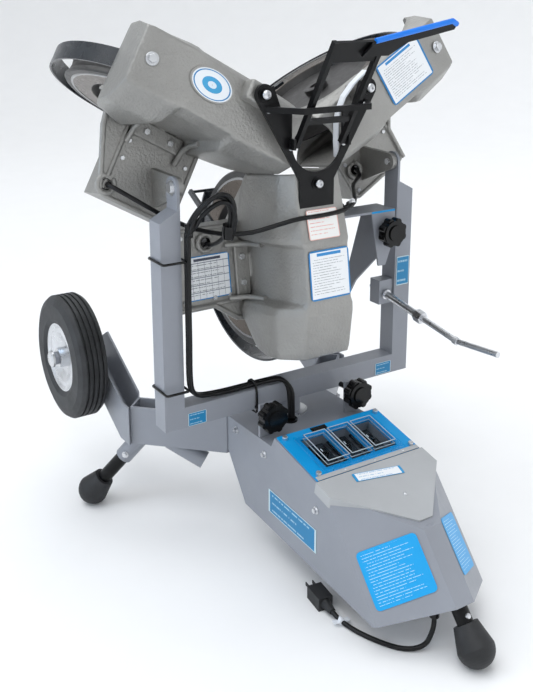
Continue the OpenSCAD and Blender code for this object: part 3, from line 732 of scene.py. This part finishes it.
def oval(name, side, t, r, half_r, half_t):
    """A raised oval badge with plain blue and white rings."""
    unit = UNITS[side]
    g = Graph(name)
    split = g.node("ShaderNodeTexGradient", gradient_type="SPHERICAL")
    centre = g.node("ShaderNodeMapping")
    centre.inputs["Location"].default_value = (-1, -1, 0)
    centre.inputs["Scale"].default_value = (2, 2, 0)
    g.link(g.coord.outputs["UV"], centre.inputs["Vector"])
    g.link(centre.outputs["Vector"], split.inputs["Vector"])
    rings = g.ramp(split.outputs["Fac"], [(0.0, (0.8, 0.84, 0.88)), (0.07, (0.02, 0.22, 0.5)),
                                          (0.13, (0.84, 0.88, 0.92)), (0.5, (0.05, 0.36, 0.66)),
                                          (0.78, (0.72, 0.82, 0.9))])
    rings.node.color_ramp.interpolation = "CONSTANT"
    g.link(rings, g.bsdf.inputs["Base Color"])
    g.bsdf.inputs["Roughness"].default_value = 0.35
    g.bump(g.noise(300, 2), 0.06, 0.0002)
    verts, uvs, n = [], [], 56
    for level, scale in ((0, 1.12), (2.2, 1.1), (2.2, 1.02), (1.6, 1.0), (1.6, 0.02)):
        for k in range(n):
            a = math.tau * k / n
            x, y = math.cos(a), math.sin(a)
            verts.append(at(unit, t + half_t * scale * y, -81.2 - level, r + half_r * scale * x))
            uvs.append((0.5 + 0.5 * scale * x, 0.5 + 0.5 * scale * y))
    faces = [(b * n + i, b * n + (i + 1) % n, (b + 1) * n + (i + 1) % n, (b + 1) * n + i)
             for b in range(4) for i in range(n)]
    badge = add_mesh(name, verts, faces, g.mat, "head", uvs=uvs)
    badge.data.materials.append(FINISH["cast_paint"])
    for index, polygon in enumerate(badge.data.polygons):
        polygon.material_index = 0 if index >= 3 * n else 1


oval("badge_left", "left", -10, 226, 38, 24)


def lean_label(name, corners, finish):
    """A label on a rear corner face of the box, from its four corners in the leaned frame."""
    top_left, top_right, low_right, low_left = [at(LEAN, *c) for c in corners]
    right = ((top_right - top_left) + (low_right - low_left)) / 2
    up = ((top_left - low_left) + (top_right - low_right)) / 2
    centre = (top_left + top_right + low_right + low_left) / 4
    out = right.cross(up).normalized()
    label(name, centre + out * 0.0006, right, up, right.length, up.length, finish, "base", 0.0006)


lean_label("label_rear_left", [(-105, -349, -112), (-29, -415, -115), (-29, -415, -206), (-105, -349, -204)],
           LABELS["blue"])
lean_label("label_rear_right", [(21, -421.4, -111), (95, -357.6, -106), (97, -356, -196), (21, -421.4, -202)],
           LABELS["blue"])

# Leaning label on the box's left side
side_corners = [(-112.6, y, z) for y, z in ((-102, 99), (-246, 90), (-246, 133), (-102, 142))]
side_label = add_mesh("label_side", [Vector(c) * MM for c in side_corners], [(0, 1, 2, 3)], LABELS["panel"], "base",
                      uvs=[(0, 0), (1, 0), (1, 1), (0, 1)])
solid = side_label.modifiers.new("thick", "SOLIDIFY")
solid.thickness = 0.0006
solid.offset = 0

label("label_lid", at(CONSOLE, -4, -153.5, 0.7), way(CONSOLE, 91, -15, 0), way(CONSOLE, 15, 91, 0), 0.092, 0.019,
      LABELS["strip"], "base", lift=0.0005)
hex_bolt("lid_screw", at(CONSOLE, 6, -212, 0.3), way(CONSOLE, 0, 0, 1), 3.4, "base", washer=False, domed=True)
# Just behind the rear face of the yoke's 38 mm tubes
YOKE_REAR = -0.0196
for name, x0, x1, z0, z1 in (("label_bar_left", -226, -190, 250, 289), ("label_bar_right", 190, 229, 251, 290)):
    label(name, ((x0 + x1) / 2 * MM, YOKE_REAR, (z0 + z1) / 2 * MM), (1, 0, 0), (0, 0, 1), (x1 - x0) * MM, 0.024,
          LABELS["panel"], "yoke")
label("label_upright", (0.2515, YOKE_REAR, 0.465), (1, 0, 0), (0, 0, 1), 0.031, 0.058, LABELS["panel"], "yoke")


# ---------------------------------------------------------------- small parts

def upright_tie(name, height):
    """A cable tie round the left upright and the cable behind it."""
    half_x, half_y, corner = 21.5, 28, 4
    pts = []
    for sx, sy, start in ((1, 1, 0), (-1, 1, 90), (-1, -1, 180), (1, -1, 270)):
        for k in range(4):
            a = math.radians(start + 30 * k)
            u = sx * (half_x - corner) + corner * math.cos(a)
            v = sy * (half_y - corner) + corner * math.sin(a)
            pts.append(Vector((-251 + u, -6 + v, height)) * MM)
    bar_path(name, pts, TIE_R, "black_plastic", "yoke", cyclic=True)


def clip(name, place, direction, across, body):
    """A P-clip with its bolt. It stands on a face that looks along direction."""
    place, direction = Vector(place), Vector(direction).normalized()
    side = Vector(across).normalized()
    outline = ((12, 1), (3, 1), (0, 2), (-3, 6), (-6, 10), (-11, 10), (-14, 6), (-13, 1), (-8, -1))
    pts = [place + side * (u * MM) + direction * (v * MM) for u, v in outline]
    bar_path(name, pts, 0.003, "black_plastic", body)
    hex_bolt(name + "_bolt", place + side * 9 * MM + direction * 3.5 * MM, direction, 4.5, body)


# Blue trim along the blade's upper edge
trim = [at(FEED, x, -8, z) for x, z in ((24, 201), (95, 217.5), (166, 234), (178, 228))]
bar_path("blade_trim", trim, 0.0046, "bright_blue", "feed")

# Cable ties on the left upright and on the crossbar, and the clip of the head's cable
TIE_R = 0.0023
upright_tie("tie_upright_top", 560)
upright_tie("tie_upright_low", 330)
bar_loop = ((-21, 252), (-21, 288), (-17, 301), (-10, 306.5), (-2, 307), (6, 303), (12, 293), (21, 290), (21, 252),
            (18, 249), (-18, 249))
bar_path("tie_crossbar", [Vector((-86, y, z)) * MM for y, z in bar_loop], TIE_R, "black_plastic", "yoke",
         cyclic=True)
clip("clip_right", (0.062, -0.083, 0.633), (0, -1, 0), (1, 0, 0.25), "head")

# Raised bosses that the feed plate's ears stand on
for side, x in (("left", -114), ("right", 96)):
    t, w, r = (UNITS[side].inverted() @ Vector((x * MM, -0.084, 0.833))) / MM
    block(f"ear_boss_{side}", UNITS[side], (t - 17, w - 1, r - 20), (t + 17, -76, r + 24), "cast_paint", "head",
          5)

# Domed bolts on the feed plate
for k, (x, z, size) in enumerate(((-114, 833, 7.5), (96, 833, 7.5), (-9, 678, 7))):
    hex_bolt(f"plate_bolt_{k}", (x * MM, -0.0995, z * MM), (0, -1, 0), size, "head", washer=False, domed=True)
for k, (x, z) in enumerate(((-107, 806), (89, 806), (-63, 742), (45, 742))):
    hex_bolt(f"plate_screw_{k}", (x * MM, -0.093, z * MM), (0, -1, 0), 4, "head", washer=False, domed=True)

# Console: standoff screws, hinge strip with its screws, display, and three wells with a dial each, each well floored
# with a near-black panel as painted shade
WELLS = (-50, 0, 50)
for k, (x, y) in enumerate(((-99, -12), (99, -12), (-99, -114), (99, -114))):
    lathe(f"console_post_{k}", [(0.0001, 0), (0.0048, 0), (0.0048, 0.0052), (0.0042, 0.006), (0.0001, 0.006)],
          at(CONSOLE, x, y, 0), way(CONSOLE, 0, 0, 1), "zinc", "base", 28, closed=False)
block("console_strip", CONSOLE, (-108, -127, 0.1), (108, -118, 1.4), "lid_paint", "base", 0.3)
for k, x in enumerate((-62, 0, 62)):
    hex_bolt(f"strip_screw_{k}", at(CONSOLE, x + 12, -122.5, 1.4), way(CONSOLE, 0, 0, 1), 2.2, "base", washer=False,
             domed=True)
block("display_frame", CONSOLE, (-42, -19.5, -1), (-10, -5, 1.6), "black_plastic", "base", 0.6)
for k, x in enumerate(WELLS):
    # Near-black floor panel in each well, put there as painted shade for the recess
    block(f"well_shade_floor_{k}", CONSOLE, (x - 20, -100, -20), (x + 20, -30, -17), "painted_well_shade", "base")
    well = [(x - 22, -102), (x + 22, -102), (x + 22, -28), (x - 22, -28)]
    for level in (3.6, 12.0):
        bar_path(f"well_edge_{k}_{int(level)}", [at(CONSOLE, px, py, level) for px, py in well], 0.0009, "clear_edge",
                 "cover", cyclic=True)
    lathe(f"dial_{k}", [(0.0001, 0), (0.011, 0), (0.0105, 0.008), (0.009, 0.009), (0.0001, 0.009)],
          at(CONSOLE, x, -60, -17), way(CONSOLE, 0, 0, 1), "black_plastic", "base", 32, closed=False)
    block(f"dial_mark_{k}", CONSOLE, (x - 0.7, -59, -8.2), (x + 0.7, -52, -7.4), "white_plastic", "base")
for k, x in enumerate((-25, 25)):
    block(f"console_bridge_{k}", CONSOLE, (x - 4, -103.5, -2.8), (x + 4, -26.5, -0.2), "blue_panel", "base")

# Tape round the cable bundle's two ends
for k, (place, along, r) in enumerate((((-159, -50, 606), (-0.1, -0.25, 1), 11), ((-224, -33, 612), (0, 0.1, 1), 7))):
    rim = (r - 1) * MM
    lathe(f"cable_tape_{k}", [(0.0001, -0.012), (rim, -0.012), (r * MM, 0), (rim, 0.012), (0.0001, 0.012)],
          Vector(place) * MM, along, "black_plastic", "head", 24, closed=False)

# White washers behind the knobs
for name, joint, body in (("left", "lock_left_turn", "lock_knob_left"),
                          ("right", "lock_right_turn", "lock_knob_right"), ("lift", "lift_lock_turn", "lift_knob")):
    lathe(f"knob_washer_{name}", [(0.006, 0), (0.0155, 0), (0.0155, 0.0026), (0.006, 0.0026)],
          pivot(joint) - Vector((0, 0.0004, 0)), (0, -1, 0), "white_plastic", body, 36)

# Snap button of the rear leg
lathe("leg_button", [(0.0001, 0), (0.0045, 0), (0.004, 0.0022), (0.0001, 0.003)], at(REAR_LEG, 13.1, 0, 46),
      way(REAR_LEG, 1, 0, 0), "zinc", "leg_b", 24, closed=False)

# Dust caps on the transport wheels' axles
for side, s in (("left", -1), ("right", 1)):
    lathe(f"hub_cap_{side}", [(0.0001, 0), (0.017, 0), (0.0165, 0.004), (0.013, 0.006), (0.0001, 0.006)],
          pivot(f"stand_wheel_{side}_spin") + Vector((s * 0.0405, 0, 0)), (s, 0, 0), "zinc", "base", 32,
          closed=False)

# Weld beads on the stand
for side, s in (("left", -1), ("right", 1)):
    bead = [Vector((s * 0.2135, 0.195 + 0.002 * math.sin(k), 0.152 + 0.0045 * k)) for k in range(12)]
    bar_path(f"weld_{side}", bead, 0.0028, "frame_paint", "base")

# Scale edge of the lift plate
block("lift_scale", Matrix.Identity(4), (158.5, -35.6, 592.2), (213.5, -35.0, 595.8), "blue_panel", "head")


# ---------------------------------------------------------------- floor and light

FLOOR_R, WALL_R, WALL_TOP = 5, 3, 8
FLOOR_SIDES = 96


def make_floor():
    """A pale round floor that curves up into a wall far from the object."""
    arc = [math.radians(6 * k) for k in range(1, 16)]
    outline = [(0.5, 0), (FLOOR_R, 0)]
    outline += [(FLOOR_R + WALL_R * math.sin(a), WALL_R - WALL_R * math.cos(a)) for a in arc]
    outline.append((FLOOR_R + WALL_R, WALL_TOP))
    n = FLOOR_SIDES
    angles = [math.tau * j / n for j in range(n)]
    verts = [(r * math.cos(a), r * math.sin(a), z) for r, z in outline for a in angles]
    faces = [tuple(range(n))]
    for low in range(0, n * (len(outline) - 1), n):
        for j in range(n):
            k = (j + 1) % n
            faces.append((low + j, low + n + j, low + n + k, low + k))
    mesh = bpy.data.meshes.new("floor")
    mesh.from_pydata(verts, [], faces)
    mesh.polygons.foreach_set("use_smooth", [True] * len(faces))
    floor = bpy.data.objects.new("floor", mesh)
    bpy.context.scene.collection.objects.link(floor)
    floor.data.materials.append(coat("floor_paint", (0.9, 0.9, 0.9), 0.7, 0.01, 40, 0.0002, 0.05, specular=0.1))


def lamp(name, kind, energy, colour, direction):
    light = bpy.data.objects.new(name, bpy.data.lights.new(name, kind))
    light.data.energy = energy
    light.data.color = colour
    light.rotation_mode = "QUATERNION"
    light.rotation_quaternion = Vector(direction).to_track_quat("-Z", "Y")
    bpy.context.scene.collection.objects.link(light)
    return light


def area(name, place, target, size, energy, colour):
    light = lamp(name, "AREA", energy, colour, Vector(target) - Vector(place))
    light.data.shape = "DISK"
    light.data.size = size
    light.location = place


def make_light():
    world = bpy.data.worlds.new("studio")
    bpy.context.scene.world = world
    world.use_nodes = True
    background = world.node_tree.nodes["Background"]
    background.inputs["Color"].default_value = (0.93, 0.96, 1, 1)
    background.inputs["Strength"].default_value = 0.5
    sun = lamp("overhead", "SUN", 2.3, (0.96, 0.98, 1), (0.22, -0.3, -1))
    sun.data.angle = math.radians(75)
    area("key", (-1.6, -1.8, 3.2), (0, 0, 0.5), 0.9, 12, (0.92, 0.96, 1))
    area("side", (-3.2, 0.8, 1.2), (-0.2, 0, 0.5), 1.2, 18, (0.6, 0.78, 1))
    bpy.context.scene.view_settings.view_transform = "Standard"


make_floor()
make_light()

bpy.context.view_layer.update()
